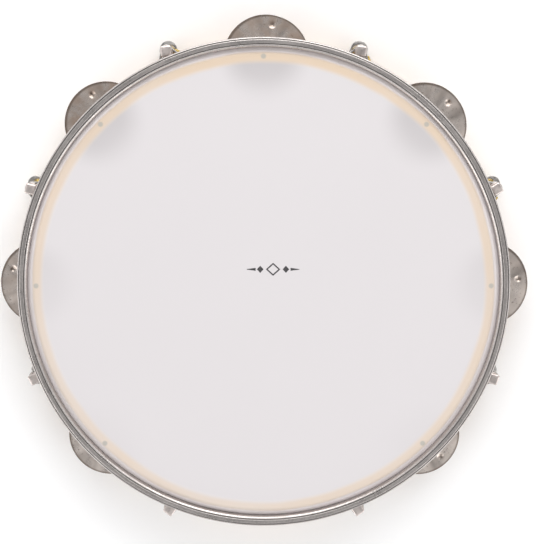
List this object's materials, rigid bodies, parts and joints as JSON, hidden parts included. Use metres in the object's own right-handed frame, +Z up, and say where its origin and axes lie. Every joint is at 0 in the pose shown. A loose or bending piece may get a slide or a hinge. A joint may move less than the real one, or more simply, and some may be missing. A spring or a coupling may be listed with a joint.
{
  "type": "frame drum",
  "caption": "Round tunable frame drum with a translucent head, a rolled steel hoop drawn down by square-head bolts, and pairs of jingles in slots round its wooden shell.",
  "frame": {"origin": "centre of the shell's lower rim, in the plane it rests on", "axes": "+Z up through the playing head, +Y opposite the plain stretch of shell where the hand holds, +X to the right seen from the head"},
  "size_m": [0.3488, 0.3332, 0.053],
  "materials": {
    "shell_wood": "pale bent hardwood with a clear satin lacquer",
    "drumhead_film": "milky translucent film, satin",
    "flesh_hoop_aluminium": "mill finish",
    "hoop_steel": "rolled steel with draw lines along its length",
    "zinc_steel": "bright zinc plate, slightly clouded",
    "brazing_brass": "rough brazing fillets, dull",
    "yellow_zinc": "yellow zinc plate",
    "bolt_steel": "polished steel heads with rounded corners",
    "pin_steel": "plain steel wire",
    "jingle_nickel": "warm grey pressed plate, hammered dimples, worn rims"
  },
  "bodies": {
    "root": {"shell": "shell_wood", "head_film": "drumhead_film", "flesh_hoop": "flesh_hoop_aluminium", "bracket_nuts": "yellow_zinc", "bracket_screws": "zinc_steel", "shell_bracket_1": "zinc_steel", "shell_bracket_2": "zinc_steel", "shell_bracket_3": "zinc_steel", "shell_bracket_4": "zinc_steel", "shell_bracket_5": "zinc_steel", "shell_bracket_6": "zinc_steel", "shell_bracket_7": "zinc_steel", "shell_bracket_8": "zinc_steel", "jingle_pin_1": "pin_steel", "jingle_pin_2": "pin_steel", "jingle_pin_3": "pin_steel", "jingle_pin_4": "pin_steel", "jingle_pin_5": "pin_steel", "jingle_pin_6": "pin_steel", "jingle_pin_7": "pin_steel"},
    "tension_hoop": {"tension_hoop": "hoop_steel", "hoop_ears": "zinc_steel", "ear_brazing": "brazing_brass"},
    "tension_bolt_1": {"tension_bolt_1": "bolt_steel"},
    "tension_bolt_2": {"tension_bolt_2": "bolt_steel"},
    "tension_bolt_3": {"tension_bolt_3": "bolt_steel"},
    "tension_bolt_4": {"tension_bolt_4": "bolt_steel"},
    "tension_bolt_5": {"tension_bolt_5": "bolt_steel"},
    "tension_bolt_6": {"tension_bolt_6": "bolt_steel"},
    "tension_bolt_7": {"tension_bolt_7": "bolt_steel"},
    "tension_bolt_8": {"tension_bolt_8": "bolt_steel"},
    "lower_jingle_1": {"lower_jingle_1": "jingle_nickel"},
    "upper_jingle_1": {"upper_jingle_1": "jingle_nickel"},
    "lower_jingle_2": {"lower_jingle_2": "jingle_nickel"},
    "upper_jingle_2": {"upper_jingle_2": "jingle_nickel"},
    "lower_jingle_3": {"lower_jingle_3": "jingle_nickel"},
    "upper_jingle_3": {"upper_jingle_3": "jingle_nickel"},
    "lower_jingle_4": {"lower_jingle_4": "jingle_nickel"},
    "upper_jingle_4": {"upper_jingle_4": "jingle_nickel"},
    "lower_jingle_5": {"lower_jingle_5": "jingle_nickel"},
    "upper_jingle_5": {"upper_jingle_5": "jingle_nickel"},
    "lower_jingle_6": {"lower_jingle_6": "jingle_nickel"},
    "upper_jingle_6": {"upper_jingle_6": "jingle_nickel"},
    "lower_jingle_7": {"lower_jingle_7": "jingle_nickel"},
    "upper_jingle_7": {"upper_jingle_7": "jingle_nickel"}
  },
  "joints": [
    {"name": "hoop_slide", "type": "slide", "parent": "root", "child": "tension_hoop", "axis": [0, 0, 1], "range_m": [0, 0.004]},
    {"name": "bolt_turn_1", "type": "hinge", "parent": "tension_hoop", "child": "tension_bolt_1", "pos_m": [0.15022, 0.06222, 0.043], "axis": [0, 0, 1], "range_deg": [0, 1800]},
    {"name": "bolt_turn_2", "type": "hinge", "parent": "tension_hoop", "child": "tension_bolt_2", "pos_m": [0.06222, 0.15022, 0.043], "axis": [0, 0, 1], "range_deg": [0, 1800]},
    {"name": "bolt_turn_3", "type": "hinge", "parent": "tension_hoop", "child": "tension_bolt_3", "pos_m": [-0.06222, 0.15022, 0.043], "axis": [0, 0, 1], "range_deg": [0, 1800]},
    {"name": "bolt_turn_4", "type": "hinge", "parent": "tension_hoop", "child": "tension_bolt_4", "pos_m": [-0.15022, 0.06222, 0.043], "axis": [0, 0, 1], "range_deg": [0, 1800]},
    {"name": "bolt_turn_5", "type": "hinge", "parent": "tension_hoop", "child": "tension_bolt_5", "pos_m": [-0.15022, -0.06222, 0.043], "axis": [0, 0, 1], "range_deg": [0, 1800]},
    {"name": "bolt_turn_6", "type": "hinge", "parent": "tension_hoop", "child": "tension_bolt_6", "pos_m": [-0.06222, -0.15022, 0.043], "axis": [0, 0, 1], "range_deg": [0, 1800]},
    {"name": "bolt_turn_7", "type": "hinge", "parent": "tension_hoop", "child": "tension_bolt_7", "pos_m": [0.06222, -0.15022, 0.043], "axis": [0, 0, 1], "range_deg": [0, 1800]},
    {"name": "bolt_turn_8", "type": "hinge", "parent": "tension_hoop", "child": "tension_bolt_8", "pos_m": [0.15022, -0.06222, 0.043], "axis": [0, 0, 1], "range_deg": [0, 1800]},
    {"name": "lower_jingle_slide_1", "type": "slide", "parent": "root", "child": "lower_jingle_1", "axis": [0, 0, 1], "range_m": [0, 0.0033]},
    {"name": "upper_jingle_slide_1", "type": "slide", "parent": "lower_jingle_1", "child": "upper_jingle_1", "axis": [0, 0, 1], "range_m": [0, 0.0033]},
    {"name": "lower_jingle_slide_2", "type": "slide", "parent": "root", "child": "lower_jingle_2", "axis": [0, 0, 1], "range_m": [0, 0.0033]},
    {"name": "upper_jingle_slide_2", "type": "slide", "parent": "lower_jingle_2", "child": "upper_jingle_2", "axis": [0, 0, 1], "range_m": [0, 0.0033]},
    {"name": "lower_jingle_slide_3", "type": "slide", "parent": "root", "child": "lower_jingle_3", "axis": [0, 0, 1], "range_m": [0, 0.0033]},
    {"name": "upper_jingle_slide_3", "type": "slide", "parent": "lower_jingle_3", "child": "upper_jingle_3", "axis": [0, 0, 1], "range_m": [0, 0.0033]},
    {"name": "lower_jingle_slide_4", "type": "slide", "parent": "root", "child": "lower_jingle_4", "axis": [0, 0, 1], "range_m": [0, 0.0033]},
    {"name": "upper_jingle_slide_4", "type": "slide", "parent": "lower_jingle_4", "child": "upper_jingle_4", "axis": [0, 0, 1], "range_m": [0, 0.0033]},
    {"name": "lower_jingle_slide_5", "type": "slide", "parent": "root", "child": "lower_jingle_5", "axis": [0, 0, 1], "range_m": [0, 0.0033]},
    {"name": "upper_jingle_slide_5", "type": "slide", "parent": "lower_jingle_5", "child": "upper_jingle_5", "axis": [0, 0, 1], "range_m": [0, 0.0033]},
    {"name": "lower_jingle_slide_6", "type": "slide", "parent": "root", "child": "lower_jingle_6", "axis": [0, 0, 1], "range_m": [0, 0.0033]},
    {"name": "upper_jingle_slide_6", "type": "slide", "parent": "lower_jingle_6", "child": "upper_jingle_6", "axis": [0, 0, 1], "range_m": [0, 0.0033]},
    {"name": "lower_jingle_slide_7", "type": "slide", "parent": "root", "child": "lower_jingle_7", "axis": [0, 0, 1], "range_m": [0, 0.0033]},
    {"name": "upper_jingle_slide_7", "type": "slide", "parent": "lower_jingle_7", "child": "upper_jingle_7", "axis": [0, 0, 1], "range_m": [0, 0.0033]}
  ],
  "couplings": [
    {"joint": "bolt_turn_1", "follows": "hoop_slide", "rad_per_m": 7854},
    {"joint": "bolt_turn_2", "follows": "hoop_slide", "rad_per_m": 7854},
    {"joint": "bolt_turn_3", "follows": "hoop_slide", "rad_per_m": 7854},
    {"joint": "bolt_turn_4", "follows": "hoop_slide", "rad_per_m": 7854},
    {"joint": "bolt_turn_5", "follows": "hoop_slide", "rad_per_m": 7854},
    {"joint": "bolt_turn_6", "follows": "hoop_slide", "rad_per_m": 7854},
    {"joint": "bolt_turn_7", "follows": "hoop_slide", "rad_per_m": 7854},
    {"joint": "bolt_turn_8", "follows": "hoop_slide", "rad_per_m": 7854}
  ]
}
